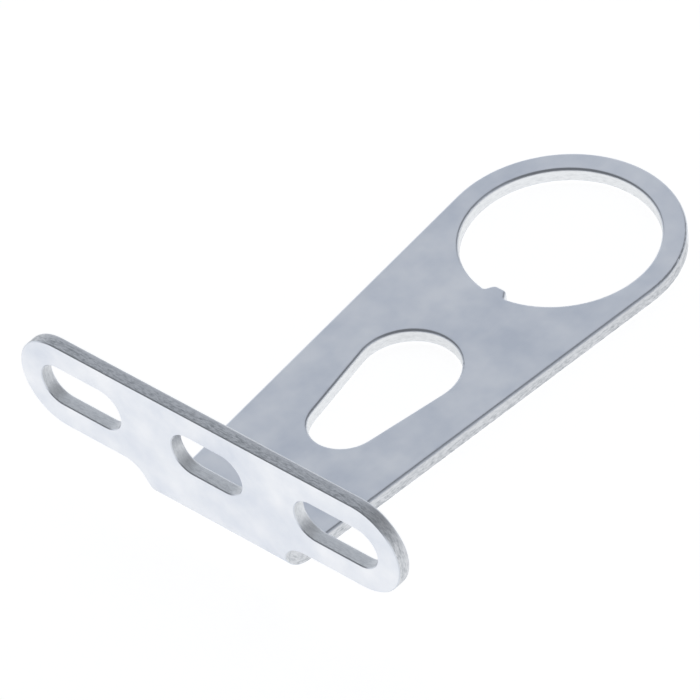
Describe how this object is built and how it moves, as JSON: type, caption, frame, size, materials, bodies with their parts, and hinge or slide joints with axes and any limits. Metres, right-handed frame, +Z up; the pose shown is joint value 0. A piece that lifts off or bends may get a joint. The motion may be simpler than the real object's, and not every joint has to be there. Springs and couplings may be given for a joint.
{
  "type": "bicycle lamp bracket",
  "caption": "Bent sheet metal lamp bracket with a keyed ring for a bicycle's steerer, a tapering arm with a pear shaped opening, and a slotted cross flange.",
  "frame": {"origin": "on the axis of the ring's keyed hole, in the arm's underside, which the bracket rests on", "axes": "+X across the bracket, along the slotted flange; +Y along the arm, away from the flange; +Z up, the side that the flange is bent to"},
  "size_m": [0.0614, 0.08, 0.0194],
  "materials": {
    "sheet": "satin stamped sheet, tumbled, with rolled edges on one side and granular sheared walls"
  },
  "bodies": {
    "root": {"lamp_bracket": "sheet"}
  },
  "joints": []
}
